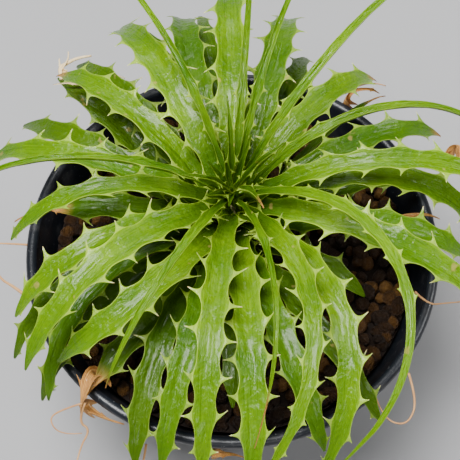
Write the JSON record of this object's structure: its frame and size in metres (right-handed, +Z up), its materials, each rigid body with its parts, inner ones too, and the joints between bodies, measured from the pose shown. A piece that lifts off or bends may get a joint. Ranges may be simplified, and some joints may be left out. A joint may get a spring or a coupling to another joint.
{
  "type": "potted encholirium",
  "caption": "Spiny-leaved rosette plant with arching green leaves, growing in granular soil in a round black nursery pot.",
  "frame": {"origin": "middle of the pot's flat base, on the surface it stands on", "axes": "+Z up out of the pot; the plant's front faces -Y; +X to the right as seen from the front"},
  "size_m": [0.1362, 0.1387, 0.1069],
  "materials": {
    "leaf_young": "young leaf: glossy yellow-green skin with fine lengthwise ridges and pale margins",
    "leaf_mature": "mature leaf: glossy mid green skin with lengthwise ridges, pale margins and cream spine tips",
    "leaf_old": "old lower leaf: darker, greyer green, duller, with tan dried tips",
    "stem": "short stem closed in by leaf bases, pale green to straw",
    "roots": "matted pale brown roots",
    "soil_granules": "rounded red-brown fired clay granules, matt and slightly damp",
    "pot_plastic": "thin black moulded plastic, semi-matt with fine pits"
  },
  "bodies": {
    "root": {"leaf_crown_1": "leaf_young", "leaf_crown_2": "leaf_young", "leaf_crown_3": "leaf_young", "leaf_crown_4": "leaf_young", "leaf_crown_5": "leaf_young", "leaf_crown_6": "leaf_young", "leaf_crown_7": "leaf_young", "leaf_ground_1": "leaf_old", "leaf_ground_2": "leaf_old", "leaf_ground_3": "leaf_old", "leaf_ground_4": "leaf_old", "leaf_ground_5": "leaf_old", "leaf_heart_1": "leaf_young", "leaf_heart_2": "leaf_young", "leaf_heart_3": "leaf_young", "leaf_heart_4": "leaf_young", "leaf_lower_1": "leaf_mature", "leaf_lower_2": "leaf_mature", "leaf_lower_3": "leaf_mature", "leaf_lower_4": "leaf_mature", "leaf_lower_5": "leaf_mature", "leaf_lower_6": "leaf_mature", "leaf_lower_7": "leaf_mature", "leaf_lower_8": "leaf_mature", "leaf_middle_1": "leaf_mature", "leaf_middle_2": "leaf_mature", "leaf_middle_3": "leaf_mature", "leaf_middle_4": "leaf_mature", "leaf_middle_5": "leaf_mature", "leaf_middle_6": "leaf_mature", "leaf_middle_7": "leaf_mature", "leaf_middle_8": "leaf_mature", "leaf_middle_9": "leaf_mature", "leaf_skirt_1": "leaf_old", "leaf_skirt_10": "leaf_old", "leaf_skirt_2": "leaf_old", "leaf_skirt_3": "leaf_old", "leaf_skirt_4": "leaf_old", "leaf_skirt_5": "leaf_old", "leaf_skirt_6": "leaf_old", "leaf_skirt_7": "leaf_old", "leaf_skirt_8": "leaf_old", "leaf_skirt_9": "leaf_old", "leaf_upper_1": "leaf_mature", "leaf_upper_2": "leaf_mature", "leaf_upper_3": "leaf_mature", "leaf_upper_4": "leaf_mature", "leaf_upper_5": "leaf_mature", "leaf_upper_6": "leaf_mature", "leaf_upper_7": "leaf_mature", "leaf_upper_8": "leaf_mature", "leaf_upper_9": "leaf_mature", "pot": "pot_plastic", "root_ball": "roots", "soil": "soil_granules", "stem": "stem"}
  },
  "joints": []
}
